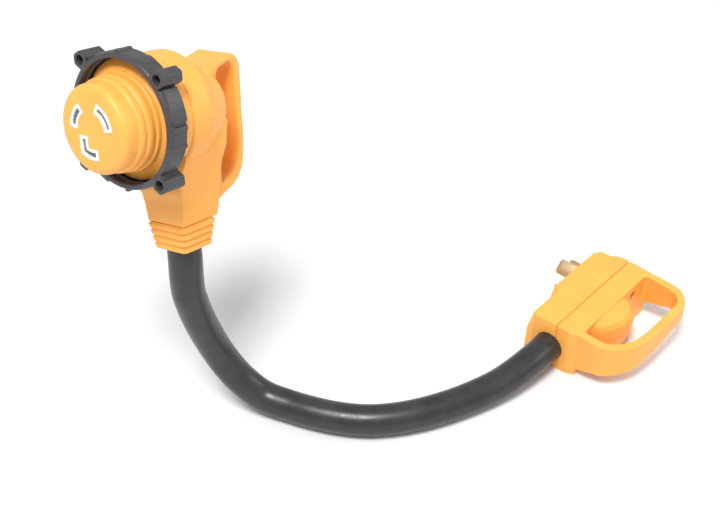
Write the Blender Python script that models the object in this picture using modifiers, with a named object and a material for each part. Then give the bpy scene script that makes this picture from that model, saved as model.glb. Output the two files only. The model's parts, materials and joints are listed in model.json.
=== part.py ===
"""Power adapter dogbone: a locking connector head with a threaded lock ring, a short stiff cord and a
handled plug. The row frame stands on the ground: +Z up, the plug's cord axis along +X, its blades
towards +Y. The head and the plug are each modelled in a frame of their own, which an empty places.
"""

import math

import bmesh
import bpy
import numpy as np
from mathutils import Matrix, Vector

MM = 0.001
GAP = 0.3

# Where the head and the plug are. The head frame lies on the barrel's axis, at the lock ring's front
# face: x runs back into the head, z runs up, away from the cord.
HEAD_PLACE = (-78.0, 78.8, 192.3)
HEAD_TURN = (-13.75, 14.2, 2.9)
# The plug frame: x from the cord end to the far end, y towards the blades, z up from the ground.
PLUG_PLACE = (95.0, -47.0, 0.0)
ORIGIN_SHIFT = (-35.89, -2.59, 0.0)

# Head.
BARREL_FRONT = -17.3
BARREL_RADIUS = 21.3
FACE_THICK = 3.6
RING_DEPTH = 12.0
RING_BORE = 29.7
RING_LIP = 32.4
RING_BODY = 32.9
RING_BLOCK = 34.6
RING_BACK = 10.8
LUG_RADIUS = 4.4
LUG_CIRCLE = 35.2
LUG_ANGLES = (40.0, 130.0, 220.0, 310.0)
FLANGE_RADIUS = 28.6
COLLAR_FRONT = 14.6
COLLAR_RADIUS = 27.2
DRUM_FRONT = 20.2
DRUM_SEAM = 33.0
DRUM_BACK = 51.0
DRUM_RADIUS = 28.4
NECK_TOP = -42.0
NECK_FOOT = -56.4
RELIEF_FOOT = -70.8
NECK_HALF = 11.9
NECK_FRONT = 22.4
NECK_BACK = 44.8
WALL = 2.6
HOLLOW_BACK = 44.2
GRIP_HALF = 11.5

# Slots in the barrel's face: radius of their circle, and where each arc starts and ends, in degrees
# counted from the near side (-y) towards the top.
SLOT_CIRCLE = 11.4
SLOT_HALF = 1.2
LINER_WALL = 1.4
SLOT_ARCS = {"neutral": (127.0, 172.0), "hot": (10.0, 63.0), "ground": (240.0, 278.0)}
GROUND_LEG = 5.6

# Cord.
CORD_RADIUS = 8.75

# Plug.
PLUG_LONG = 71.5
PLUG_TALL = 31.5
PLUG_SEAM = -16.2
PLUG_REAR = -29.0
PLATE_THICK = 3.8
CORD_ENTRY = (0.0, -12.9, 14.2)
GRIP_OUT = -61.0
GRIP_TOP = 29.4

YELLOW = (1.0, 0.53, 0.10)
BLACK = (0.035, 0.035, 0.037)
WHITE = (0.85, 0.85, 0.83)
BRASS = (0.80, 0.60, 0.28)
STEEL = (0.55, 0.55, 0.56)
GREEN = (0.03, 0.30, 0.08)
COPPER_SLEEVE = {"hot": BLACK, "neutral": WHITE, "ground": GREEN}


# ---------------------------------------------------------------- scene and materials

def clear_scene():
    for old in list(bpy.data.objects):
        bpy.data.objects.remove(old, do_unlink=True)


def new_collection(name):
    made = bpy.data.collections.new(name)
    bpy.context.scene.collection.children.link(made)
    return made


def material(name, colour, roughness, metallic=0.0):
    made = bpy.data.materials.new(name)
    made.use_nodes = True
    shader = made.node_tree.nodes["Principled BSDF"]
    shader.inputs["Base Color"].default_value = (*colour, 1.0)
    shader.inputs["Roughness"].default_value = roughness
    shader.inputs["Metallic"].default_value = metallic
    return made


def empty(name, place, turn=(0.0, 0.0, 0.0)):
    made = bpy.data.objects.new(name, None)
    made.location = [(value + shift) * MM for value, shift in zip(place, ORIGIN_SHIFT)]
    made.rotation_euler = [math.radians(value) for value in turn]
    PARTS.objects.link(made)
    return made


clear_scene()
PARTS = new_collection("power adapter dogbone")
CUTTERS = new_collection("cutters")
HEAD = empty("head_frame", HEAD_PLACE, HEAD_TURN)
PLUG = empty("plug_frame", PLUG_PLACE)
ROW = empty("row_frame", (0.0, 0.0, 0.0))


# ---------------------------------------------------------------- shape helpers

ALONG_HEAD = (0.0, 90.0, 0.0)    # local z runs along the head's x, local -x along its z
ACROSS_HEAD = (90.0, 0.0, 0.0)   # local x and y are the head's x and z, local z is -y


def put(obj, parent, place=(0.0, 0.0, 0.0), turn=(0.0, 0.0, 0.0), paint=None):
    """Places obj under a frame; with no material it becomes a hidden cutter."""
    obj.parent = parent
    obj.location = [value * MM for value in place]
    obj.rotation_euler = [math.radians(value) for value in turn]
    if paint is None:
        CUTTERS.objects.link(obj)
        obj.hide_render = True
        obj.display_type = "WIRE"
    else:
        PARTS.objects.link(obj)
        obj.data.materials.append(paint)
    return obj


def from_bmesh(name, form):
    mesh = bpy.data.meshes.new(name)
    form.to_mesh(mesh)
    form.free()
    return bpy.data.objects.new(name, mesh)


def box(name, size, centre=(0.0, 0.0, 0.0)):
    form = bmesh.new()
    bmesh.ops.create_cube(form, size=1.0)
    bmesh.ops.scale(form, vec=[value * MM for value in size], verts=form.verts)
    bmesh.ops.translate(form, vec=[value * MM for value in centre], verts=form.verts)
    return from_bmesh(name, form)


def rod(name, radius, low, high, sides=24, top=None):
    """A cylinder, or a cone frustum, along local z."""
    form = bmesh.new()
    bmesh.ops.create_cone(form, cap_ends=True, segments=sides, radius1=radius * MM,
                          radius2=(radius if top is None else top) * MM, depth=(high - low) * MM)
    bmesh.ops.translate(form, vec=(0.0, 0.0, (low + high) / 2 * MM), verts=form.verts)
    made = from_bmesh(name, form)
    smooth(made)
    return made


def turned(name, profile, sides=48):
    """A profile of (radius, height), down the outer side first, turned about local z."""
    form = bmesh.new()
    points = [form.verts.new((radius * MM, 0.0, height * MM)) for radius, height in profile]
    closed = profile[0][0] > 0.0 and profile[-1][0] > 0.0
    for first, second in zip(points, points[1:] + (points[:1] if closed else [])):
        form.edges.new((first, second))
    made = from_bmesh(name, form)
    screw = made.modifiers.new("turn", "SCREW")
    screw.steps = sides
    screw.render_steps = sides
    screw.use_merge_vertices = True
    screw.merge_threshold = 0.00001
    screw.use_normal_flip = winding(profile) > 0.0
    return made


def winding(profile):
    """Twice the signed area of a closed profile: negative where its outer side runs down."""
    return sum(r1 * z2 - r2 * z1 for (r1, z1), (r2, z2) in zip(profile, profile[1:] + profile[:1]))


def plate(name, outlines, low, high):
    """Closed outlines of (x, y), later ones as holes, extruded from low to high along local z."""
    curve = bpy.data.curves.new(name, "CURVE")
    curve.dimensions = "2D"
    curve.fill_mode = "BOTH"
    curve.extrude = (high - low) / 2 * MM
    for outline in outlines:
        spline = curve.splines.new("POLY")
        spline.points.add(len(outline) - 1)
        for point, (x, y) in zip(spline.points, outline):
            point.co = (x * MM, y * MM, 0.0, 1.0)
        spline.use_cyclic_u = True
    guide = bpy.data.objects.new(name + "_guide", curve)
    CUTTERS.objects.link(guide)
    made = mesh_of(name, guide)
    made.data.transform(Matrix.Translation((0.0, 0.0, (low + high) / 2 * MM)))
    return made


def mesh_of(name, guide):
    """The evaluated shape of a curve as a welded mesh; the curve is removed."""
    bpy.context.view_layer.update()
    evaluated = guide.evaluated_get(bpy.context.evaluated_depsgraph_get())
    mesh = bpy.data.meshes.new_from_object(evaluated)
    form = bmesh.new()
    form.from_mesh(mesh)
    bmesh.ops.remove_doubles(form, verts=form.verts, dist=0.000002)
    face_out(form)
    form.to_mesh(mesh)
    form.free()
    mesh.name = name
    bpy.data.objects.remove(guide, do_unlink=True)
    return bpy.data.objects.new(name, mesh)


def face_out(form):
    """Turns all the faces of a closed form outward."""
    bmesh.ops.recalc_face_normals(form, faces=form.faces)
    if form.calc_volume(signed=True) < 0.0:
        bmesh.ops.reverse_faces(form, faces=form.faces)


def tube(name, points, radius, resolution=2):
    """A round tube with filled caps through the points, in the parent's frame."""
    curve = bpy.data.curves.new(name, "CURVE")
    curve.dimensions = "3D"
    curve.bevel_depth = radius * MM
    curve.bevel_resolution = resolution
    curve.use_fill_caps = True
    spline = curve.splines.new("POLY")
    spline.points.add(len(points) - 1)
    for point, place in zip(spline.points, points):
        point.co = (*[value * MM for value in place], 1.0)
    return bpy.data.objects.new(name, curve)


def loft(name, sections):
    """Closed sections with the same number of points, skinned in order and capped at both ends."""
    form = bmesh.new()
    rings = [[form.verts.new([value * MM for value in point]) for point in section] for section in sections]
    for lower, upper in zip(rings, rings[1:]):
        for index in range(len(lower)):
            after = (index + 1) % len(lower)
            form.faces.new((lower[index], lower[after], upper[after], upper[index]))
    form.faces.new(list(reversed(rings[0])))
    form.faces.new(rings[-1])
    face_out(form)
    return from_bmesh(name, form)


def smooth(obj, angle=35.0):
    obj.data.shade_smooth()
    obj.data.set_sharp_from_angle(angle=math.radians(angle))


def bevel(obj, width, segments=2, angle=40.0):
    made = obj.modifiers.new("bevel", "BEVEL")
    made.width = width * MM
    made.segments = segments
    made.limit_method = "ANGLE"
    made.angle_limit = math.radians(angle)
    return made


def boolean(obj, other, operation):
    made = obj.modifiers.new(other.name, "BOOLEAN")
    made.operation = operation
    made.solver = "EXACT"
    made.object = other
    return made


def arc(centre, radius, start, end, steps):
    """Points on an arc, degrees counted from +x towards +y, both ends included."""
    turns = [math.radians(start + (end - start) * step / steps) for step in range(steps + 1)]
    return [(centre[0] + radius * math.cos(turn), centre[1] + radius * math.sin(turn)) for turn in turns]


def rounded(corners, radii, steps=3):
    """An outline whose corners are rounded by a quadratic curve that starts at each radius."""
    outline = []
    count = len(corners)
    for index, (corner, radius) in enumerate(zip(corners, radii)):
        here = Vector(corner)
        before = (Vector(corners[index - 1]) - here).normalized() * radius
        after = (Vector(corners[(index + 1) % count]) - here).normalized() * radius
        if radius <= 0.0:
            outline.append(tuple(here))
            continue
        for step in range(steps + 1):
            share = step / steps
            point = here + before * (1 - share) ** 2 + after * share ** 2
            outline.append(tuple(point))
    return outline


def rounded_box_section(half_x, half_y, corner, centre_x, height, steps=2):
    corners = [(-half_x, -half_y), (half_x, -half_y), (half_x, half_y), (-half_x, half_y)]
    flat = rounded(corners, [corner] * 4, steps)
    return [(centre_x + x, y, height) for x, y in flat]


# ---------------------------------------------------------------- materials

YELLOW_PLASTIC = material("yellow_plastic", YELLOW, 0.45)
BLACK_PLASTIC = material("black_plastic", BLACK, 0.38)
CARRIER_PLASTIC = material("carrier_plastic", (0.10, 0.10, 0.10), 0.5)
WHITE_PLASTIC = material("white_plastic", WHITE, 0.45)
CORD_RUBBER = material("cord_rubber", BLACK, 0.42)
BRASS_METAL = material("brass", BRASS, 0.3, 1.0)
STEEL_METAL = material("steel", STEEL, 0.35, 1.0)
SLEEVES = {pole: material(pole + "_sleeve", colour, 0.5) for pole, colour in COPPER_SLEEVE.items()}
POLES = ("hot", "neutral", "ground")


# ---------------------------------------------------------------- head: barrel, slots and contacts

def face_point(radius, angle):
    """A point on the barrel's face in local plate axes, from its radius and clock angle."""
    turn = math.radians(angle)
    near, up = radius * math.cos(turn), radius * math.sin(turn)
    return (-up, -near)


def slot_line(pole):
    """The middle line of a slot: an arc, and on the ground slot a leg straight up from its far end."""
    start, end = SLOT_ARCS[pole]
    steps = 4 if pole == "ground" else 8
    line = [face_point(SLOT_CIRCLE, start + (end - start) * step / steps) for step in range(steps + 1)]
    if pole == "ground":
        x, y = line[0]
        line = [(x - GROUND_LEG, y)] + line
    return [Vector(point) for point in line]


def slot_outline(pole, grow):
    """A band along the slot's middle line, grown all round."""
    line = slot_line(pole)
    half = SLOT_HALF + grow
    line[0] = line[0] + (line[0] - line[1]).normalized() * grow
    line[-1] = line[-1] + (line[-1] - line[-2]).normalized() * grow
    sides = ([], [])
    for index, point in enumerate(line):
        before = (point - line[max(index - 1, 0)]).normalized()
        after = (line[min(index + 1, len(line) - 1)] - point).normalized()
        along = (before + after).normalized()
        square = max(abs(along.dot(after if index == 0 else before)), 0.5)
        out = Vector((-along.y, along.x)) * half / square
        sides[0].append(tuple(point + out))
        sides[1].append(tuple(point - out))
    return sides[0] + sides[1][::-1]


def barrel():
    """A hollow barrel with a thick face, moulded ridges and a flange that holds the lock ring."""
    front = BARREL_FRONT
    r = BARREL_RADIUS
    profile = [(r - 4.1, front), (r - 2.3, front + 0.4), (r - 0.8, front + 1.4), (r - 0.1, front + 2.9),
               (r, front + 3.9), (r + 0.1, -8.4), (r + 1.1, -7.4), (r + 1.1, -5.0), (r + 0.5, -4.4),
               (r + 0.6, -3.6), (r + 1.8, -2.8), (r + 1.8, -0.3), (r + 1.2, 0.2), (r + 1.3, 0.9),
               (r + 2.5, 1.4), (r + 2.7, 3.4), (28.0, 6.0), (FLANGE_RADIUS, 6.6), (FLANGE_RADIUS, 9.0),
               (24.6, 9.0), (24.6, COLLAR_FRONT)]
    profile += [(COLLAR_RADIUS, COLLAR_FRONT), (COLLAR_RADIUS, DRUM_FRONT - GAP), (17.9, DRUM_FRONT - GAP)]
    profile += [(17.9, front + FACE_THICK), (0.0, front + FACE_THICK)]
    profile = [(0.0, front)] + profile
    made = turned("connector_barrel", list(reversed(profile)))
    put(made, HEAD, turn=ALONG_HEAD, paint=YELLOW_PLASTIC)
    for pole in POLES:
        cutter = plate(pole + "_slot_cut", [slot_outline(pole, LINER_WALL)], front - 2.0, front + FACE_THICK + 2.0)
        boolean(made, put(cutter, HEAD, turn=ALONG_HEAD), "DIFFERENCE")


def slot_liner(pole):
    outlines = [slot_outline(pole, LINER_WALL - GAP * 0.7), slot_outline(pole, 0.0)]
    made = plate(pole + "_slot_liner", outlines, BARREL_FRONT - 0.25, BARREL_FRONT + FACE_THICK)
    put(made, HEAD, turn=ALONG_HEAD, paint=WHITE_PLASTIC)


def contact_carrier():
    low = BARREL_FRONT + FACE_THICK + GAP
    circle = arc((0.0, 0.0), 17.5, 0.0, 352.5, 47)
    made = plate("contact_carrier", [circle] + [slot_outline(pole, 0.9) for pole in POLES], low, low + 15.0)
    put(made, HEAD, turn=ALONG_HEAD, paint=CARRIER_PLASTIC)


def contact(pole):
    """A brass contact behind its slot, with a terminal block standing out of the carrier's back."""
    low = BARREL_FRONT + FACE_THICK + GAP
    made = plate(pole + "_contact", [slot_outline(pole, 0.4)], low + 1.0, low + 20.0)
    put(made, HEAD, turn=ALONG_HEAD, paint=BRASS_METAL)


TERMINAL_BACK = BARREL_FRONT + FACE_THICK + 20.0 + 2 * GAP + 2.4
# For each conductor: its x and y in the neck, and how far below its terminal it starts to bend.
CONDUCTOR_LANES = {"hot": (36.8, -3.6, 22.0), "neutral": (36.8, 3.6, 22.0), "ground": (29.2, 0.0, 12.0)}


def middle_angle(pole):
    return sum(SLOT_ARCS[pole]) / 2


def terminal_screw(pole):
    """A binding screw in the end of the contact, standing back into the head."""
    low = TERMINAL_BACK - 2.4
    profile = [(0.0, low + 2.4), (2.6, low + 2.4), (3.0, low + 2.0), (3.0, low), (0.0, low)]
    put(turned(pole + "_terminal_screw", profile, 16), HEAD, place=(0.0, *reach(middle_angle(pole), SLOT_CIRCLE)),
        turn=ALONG_HEAD, paint=STEEL_METAL)


def head_conductor(pole):
    """An insulated conductor from the cord's end, up the neck in its own lane, to its terminal."""
    side, up = reach(middle_angle(pole), SLOT_CIRCLE)
    lane, across, bend = CONDUCTOR_LANES[pole]
    points = [(lane, across, NECK_FOOT + 4.5), (lane, across, -34.0), (lane, (across + side) / 2, up - bend),
              (lane - 4.0, side, up - 4.0), (lane - 10.0, side, up), (TERMINAL_BACK + 1.0, side, up)]
    made = tube(pole + "_head_conductor", curved(points, 5), 1.7, 1)
    put(made, HEAD, paint=SLEEVES[pole])


def curved(points, per_span):
    """Points on a smooth curve through the given ones (centripetal Catmull-Rom)."""
    path = [np.array(point, dtype=float) for point in points]
    path = [2 * path[0] - path[1]] + path + [2 * path[-1] - path[-2]]
    made = []
    for first, second, third, fourth in zip(path, path[1:], path[2:], path[3:]):
        knots = [0.0]
        for near, far in ((first, second), (second, third), (third, fourth)):
            knots.append(knots[-1] + max(np.linalg.norm(far - near), 1e-6) ** 0.5)
        for step in range(per_span):
            at = knots[1] + (knots[2] - knots[1]) * step / per_span
            made.append(catmull((first, second, third, fourth), knots, at))
    made.append(path[-2])
    return [tuple(float(value) for value in point) for point in made]


def catmull(points, knots, at):
    level = list(points)
    for width in (1, 2, 3):
        level = [mix(level[index], level[index + 1], knots, index, width, at) for index in range(len(level) - 1)]
    return level[0]


def mix(near, far, knots, index, width, at):
    """One step of the Barry-Goldman recursion for a Catmull-Rom curve."""
    if width == 1:
        low, high = knots[index], knots[index + 1]
    elif width == 2:
        low, high = knots[index], knots[index + 2]
    else:
        low, high = knots[1], knots[2]
    share = (at - low) / (high - low)
    return near * (1 - share) + far * share


# ---------------------------------------------------------------- head: lock ring

# The raised stretches of each half turn: where they start and end, and their outer radius.
RAISED = ((-3.0, 1.5, RING_BODY + 0.8), (4.7, 32.1, RING_BLOCK), (48.0, 66.0, RING_BLOCK - 0.5),
          (86.0, 90.0, RING_BODY + 1.0), (162.0, 166.0, RING_BODY + 1.0))


def ring_radius(angle):
    """The lock ring's outer radius between its lugs: raised grip blocks, low stretches and thin ribs."""
    turn = (angle + 10.0) % 180.0 - 10.0
    for start, end, radius in RAISED:
        if start <= turn <= end:
            return radius
    return RING_BODY


def ring_outline():
    steps = {edge % 180.0 for raised in RAISED for edge in raised[:2]}
    marks = sorted(steps | {float(turn) for turn in range(6, 180, 6)})
    outline = []
    for half_turn in (0.0, 180.0):
        for mark in marks:
            angle = mark + half_turn
            before, after = ring_radius(angle - 0.5), ring_radius(angle + 0.5)
            outline.append(face_point(before, angle - 0.4))
            if before != after:
                outline.append(face_point(after, angle + 0.4))
    return outline


def lock_ring():
    """The threaded ring: grip blocks round its rim, four lugs with a recess, and a rear retaining lip."""
    rim = plate("lock_ring", [ring_outline(), arc((0.0, 0.0), RING_BORE + 1.4, 0.0, 354.0, 59)],
                1.0, RING_BACK)
    put(rim, HEAD, turn=ALONG_HEAD, paint=BLACK_PLASTIC)
    root = RING_BORE + 1.2
    inner = [(RING_LIP, 0.0), (RING_LIP, RING_BACK - 0.4), (RING_LIP - 0.8, RING_BACK + 0.1),
             (29.4, RING_BACK + 0.1), (29.4, RING_DEPTH), (25.4, RING_DEPTH), (25.4, RING_DEPTH - 2.6),
             (root, RING_DEPTH - 2.6), (root, 7.2), (RING_BORE, 6.6), (RING_BORE, 5.4),
             (root, 4.6), (root, 3.2), (RING_BORE, 2.4), (RING_BORE, 0.0)]
    boolean(rim, put(turned("ring_core", list(reversed(inner)), 60), HEAD, turn=ALONG_HEAD), "UNION")
    for number, angle in enumerate(LUG_ANGLES):
        x, y = face_point(LUG_CIRCLE, angle)
        lug = put(rod("lug_%d" % number, LUG_RADIUS, -0.5, RING_DEPTH + 0.5, 20), HEAD,
                  place=(0.0, y, -x), turn=ALONG_HEAD)
        boolean(rim, lug, "UNION")
        recess = put(rod("lug_recess_%d" % number, 2.5, -3.0, 7.0, 16, 2.2), HEAD,
                     place=(0.0, y, -x), turn=ALONG_HEAD)
        boolean(rim, recess, "DIFFERENCE")


def reach(angle, radius):
    x, y = face_point(radius, angle)
    return (y, -x)


def thrust_washer():
    low = RING_DEPTH + GAP
    profile = [(27.0, low + 2.0), (27.0, low), (25.0, low), (25.0, low + 2.0)]
    put(turned("ring_thrust_washer", list(reversed(profile)), 48), HEAD, turn=ALONG_HEAD,
        paint=CARRIER_PLASTIC)


# ---------------------------------------------------------------- head: housing

def housing_outline(shrink=0.0, foot=NECK_FOOT):
    """The housing seen from the front: a drum that runs down into a tapering neck."""
    radius = DRUM_RADIUS - shrink
    top = arc((0.0, 0.0), radius, 215.0, -35.0, 30)
    shoulder = (17.4 - shrink, -27.0)
    waist = (13.9 - shrink, NECK_TOP)
    ankle = (NECK_HALF - shrink + 0.2, foot)
    near = [shoulder, waist, ankle]
    far = [(-y, z) for y, z in reversed(near)]
    # Local plate axes: x is -z of the head, y is its y.
    return [(-z, y) for y, z in top + near + far]


def inner_outline():
    return housing_outline(WALL, NECK_FOOT - 2.0)


def neck_outline(shrink=0.0, foot=NECK_FOOT):
    """The housing's neck alone, from a little below the drum's middle."""
    near = [(21.2 - shrink, -7.0), (20.6 - shrink, -20.0), (17.4 - shrink, -27.0), (13.9 - shrink, NECK_TOP),
            (NECK_HALF - shrink + 0.2, foot)]
    far = [(-y, z) for y, z in reversed(near)]
    return [(-z, y) for y, z in near + far]


# The rear body along the head's axis: x, half width, height above the axis and depth below it.
DOME = ((35.5, 26.9, 26.2, 27.0), (38.5, 26.0, 23.2, 26.0), (41.5, 25.0, 20.8, 25.0), (45.5, 23.6, 19.6, 23.4),
        (48.6, 21.8, 18.6, 21.4), (50.6, 19.4, 17.0, 19.4), (51.6, 16.4, 14.6, 17.0))


def dome_section(x, half, top, low, shrink, steps=36):
    """The rear body across the head's axis: an upper half of its own height on a rounder lower half."""
    turns = [math.tau * step / steps for step in range(steps)]
    return [(x, (half - shrink) * math.cos(turn),
             ((top if math.sin(turn) > 0.0 else low) - shrink) * math.sin(turn)) for turn in turns]


def rear_dome():
    rows = [(DRUM_SEAM + GAP, 27.9, 27.8, 27.8)] + list(DOME)
    return put(loft("head_dome", [dome_section(*row, 0.0) for row in rows]), HEAD)


def dome_hollow():
    rows = [(DRUM_SEAM - 4.0, 27.9, 27.8, 27.8)] + list(DOME[:3]) + [(HOLLOW_BACK, *DOME[3][1:])]
    return put(loft("dome_hollow_cut", [dome_section(*row, WALL) for row in rows]), HEAD)


def root_section(x, half, low, high):
    corners = [(-half, low), (half, low), (half, high), (-half, high)]
    return [(x, y, z) for y, z in rounded(corners, [1.0, 1.0, 4.0, 4.0], 3)]


def strap_root():
    """The flare where the strap grows out of the rear body."""
    rows = ((44.8, 16.2, 7.2, 17.4), (48.0, 14.6, 9.2, 17.8), (53.0, 12.4, 12.0, 18.6), (58.0, 11.6, 13.8, 19.1))
    return put(loft("strap_root", [root_section(*row) for row in rows]), HEAD)


def front_shell():
    made = plate("head_front_shell", [housing_outline()], DRUM_FRONT, DRUM_SEAM)
    put(made, HEAD, turn=ALONG_HEAD, paint=YELLOW_PLASTIC)
    bevel(made, 2.6, 3, 60.0)
    bore = put(rod("barrel_seat_cut", 24.9, DRUM_FRONT - 2.0, DRUM_FRONT + 5.0, 48), HEAD, turn=ALONG_HEAD)
    hollow = put(plate("front_hollow_cut", [inner_outline()], DRUM_FRONT + WALL, DRUM_SEAM + 2.0), HEAD,
                 turn=ALONG_HEAD)
    boolean(made, bore, "DIFFERENCE")
    boolean(made, hollow, "DIFFERENCE")
    boolean(made, neck_trim("front_neck_trim"), "INTERSECT")


def neck_trim(name):
    """A tall block that narrows towards the foot of the neck, to trim the shells front and back."""
    sections = []
    for height, front, back, half in ((40.0, 15.0, 54.0, 40.0), (0.0, 15.0, 50.6, 40.0), (-8.0, 15.0, 49.8, 40.0),
                                      (-20.0, 15.0, 48.2, 40.0), (-32.0, 18.4, 48.0, 30.0),
                                      (-44.0, 21.6, 48.6, 30.0), (NECK_FOOT, NECK_FRONT, 47.2, 20.0)):
        sections.append([(front, -half, height), (back, -half, height), (back, half, height),
                         (front, half, height)])
    return put(loft(name, sections), HEAD)


def head_handle_outline():
    corners = [(46.0, 17.6), (52.0, 18.4), (60.0, 19.6), (66.8, 21.6), (70.8, 17.0), (70.6, -27.0), (66.6, -42.0),
               (46.0, -50.5)]
    return rounded(corners, [0.0, 2.6, 3.0, 2.4, 3.2, 8.0, 8.0, 0.0], 4)


def head_opening_outline():
    corners = [(53.6, 14.9), (64.4, 18.2), (67.0, 13.0), (66.8, -26.4), (63.2, -37.4), (52.6, -42.0)]
    return rounded(corners, [1.5, 2.7, 2.7, 5.6, 5.0, 1.5], 4)


def handle_shell():
    """The rear half of the housing with its D-handle, in one moulding, with recessed screws."""
    seam = DRUM_SEAM + GAP
    made = plate("head_handle_shell", [neck_outline()], seam, DRUM_BACK + 0.8)
    put(made, HEAD, turn=ALONG_HEAD, paint=YELLOW_PLASTIC)
    bevel(made, 1.9, 2, 60.0)
    boolean(made, neck_trim("rear_neck_trim"), "INTERSECT")
    boolean(made, rear_dome(), "UNION")
    boolean(made, strap_root(), "UNION")
    strap = put(plate("head_strap", [head_handle_outline()], -GRIP_HALF, GRIP_HALF), HEAD, turn=ACROSS_HEAD)
    bevel(strap, 0.9, 1, 60.0)
    boolean(made, strap, "UNION")
    opening = put(plate("head_opening_cut", [head_opening_outline()], -40.0, 40.0), HEAD, turn=ACROSS_HEAD)
    boolean(made, opening, "DIFFERENCE")
    hollow = plate("neck_hollow_cut", [neck_outline(WALL, NECK_FOOT - 2.0)], DRUM_SEAM - 4.0, HOLLOW_BACK)
    boolean(made, put(hollow, HEAD, turn=ALONG_HEAD), "DIFFERENCE")
    boolean(made, dome_hollow(), "DIFFERENCE")
    for number, (seat, side, up) in enumerate(HEAD_SCREWS):
        for kind, radius, low, high in (("hole", 2.0, seat - 8.0, seat + 1.0), ("recess", 3.4, seat, seat + 9.0)):
            cut = rod("head_screw_%s_%d" % (kind, number), radius, low, high, 16)
            boolean(made, put(cut, HEAD, place=(0.0, side, up), turn=ALONG_HEAD), "DIFFERENCE")


# Where each screw seats along the head's axis, and its place across and up.
HEAD_SCREWS = ((48.4, -15.4, 6.4), (48.4, 15.4, 6.4), (46.8, -14.8, -13.0), (46.8, 14.8, -13.0))


def screw(name, parent, place, turn, length=7.0, head=2.9, shank=1.6):
    """A pan-head screw: its head at local z from 0 up, its shank below."""
    profile = [(0.0, 1.9), (head * 0.7, 1.9), (head, 1.2), (head, 0.0), (shank, 0.0), (shank, -length), (0.0, -length)]
    made = turned(name, profile, 14)
    put(made, parent, place, turn, STEEL_METAL)
    slot = put(box(name + "_slot", (head * 1.4, 0.8, 1.4), (0.0, 0.0, 1.9)), parent, place, turn)
    boolean(made, slot, "DIFFERENCE")


def head_screws():
    for number, (seat, side, up) in enumerate(HEAD_SCREWS):
        screw("head_shell_screw_%d" % (number + 1), HEAD, (seat + GAP, side, up), ALONG_HEAD, 6.0)


def strain_relief():
    """Four moulded bands that taper down to the cord, bored for it."""
    centre = (NECK_FRONT + NECK_BACK) / 2
    half_x = (NECK_BACK - NECK_FRONT) / 2
    tall = (NECK_FOOT - GAP - RELIEF_FOOT) / 4
    sections = []
    for band in range(4):
        top = NECK_FOOT - GAP - band * tall
        wide = 1.06 - 0.045 * band
        narrow = wide - 0.05
        for height, scale in ((top, narrow), (top - 0.9, wide), (top - tall + 0.6, wide - 0.02)):
            sections.append(rounded_box_section(half_x * scale, NECK_HALF * scale, 3.0, centre, height))
    sections.append(rounded_box_section(half_x * 0.80, NECK_HALF * 0.80, 3.0, centre, RELIEF_FOOT))
    made = loft("head_strain_relief", list(reversed(sections)))
    put(made, HEAD, paint=YELLOW_PLASTIC)
    bore = rod("relief_bore_cut", CORD_RADIUS + 2 * GAP, RELIEF_FOOT - 3.0, NECK_FOOT + 3.0, 24)
    boolean(made, put(bore, HEAD, place=(centre, 0.0, 0.0)), "DIFFERENCE")


def cord_clamp():
    """A saddle inside the neck that grips the cord's end."""
    centre = (NECK_FRONT + NECK_BACK) / 2
    outline = rounded([(-8.2, -8.6), (8.2, -8.6), (8.2, 8.6), (-8.2, 8.6)], [2.0] * 4, 2)
    hole = arc((0.0, 0.0), 7.0, 0.0, 345.0, 23)
    made = plate("head_cord_clamp", [outline, hole], 0.0, 4.0)
    put(made, HEAD, place=(centre, 0.0, -50.0), paint=CARRIER_PLASTIC)


# ---------------------------------------------------------------- cord

def head_world(point):
    matrix = Matrix.LocRotScale(Vector(HEAD_PLACE), bpy.data.objects["head_frame"].rotation_euler.to_quaternion(),
                                Vector((1.0, 1.0, 1.0)))
    return tuple(matrix @ Vector(point))


# The route's own points from the head's cord exit, down to the ground and along it to the plug.
CORD_ROUTE = ((-63.7, 60.8, 91.5), (-61.8, 60.6, 79.5), (-58.9, 60.4, 67.5), (-55.1, 59.8, 54.5),
              (-51.2, 57.6, 41.5), (-47.4, 53.0, 29.0), (-43.6, 46.0, 18.8), (-39.0, 36.0, 11.0),
              (-34.0, 23.3, 8.9), (-28.8, 9.0, 8.8), (-22.0, -5.0, 8.8), (-12.9, -18.0, 8.8),
              (0.2, -29.8, 8.8), (16.3, -39.8, 8.8), (35.0, -48.2, 8.9), (54.0, -54.8, 10.0),
              (66.4, -57.5, 11.6), (79.3, -59.2, 13.2))


def cord_points():
    centre = (NECK_FRONT + NECK_BACK) / 2
    start = [head_world((centre, 0.0, height)) for height in (NECK_FOOT - 0.6, RELIEF_FOOT - 6.0)]
    entry = tuple(a + b for a, b in zip(PLUG_PLACE, CORD_ENTRY))
    end = [entry, (entry[0] + 11.0, entry[1], entry[2])]
    return start + list(CORD_ROUTE) + end


def cord():
    path = [Vector(point) for point in curved(cord_points(), 8)]
    lengths = [0.0]
    for first, second in zip(path, path[1:]):
        lengths.append(lengths[-1] + (second - first).length)
    count = round(lengths[-1] / CORD_RADIUS / 1.6)
    even = []
    for step in range(count + 1):
        at = lengths[-1] * step / count
        index = max(1, next((i for i, reached in enumerate(lengths) if reached >= at - 1e-6), len(path) - 1))
        share = (at - lengths[index - 1]) / (lengths[index] - lengths[index - 1])
        even.append(tuple(path[index - 1].lerp(path[index], share)))
    put(tube("cord_jacket", even, CORD_RADIUS, 3), ROW, paint=CORD_RUBBER)


# ---------------------------------------------------------------- plug

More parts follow.
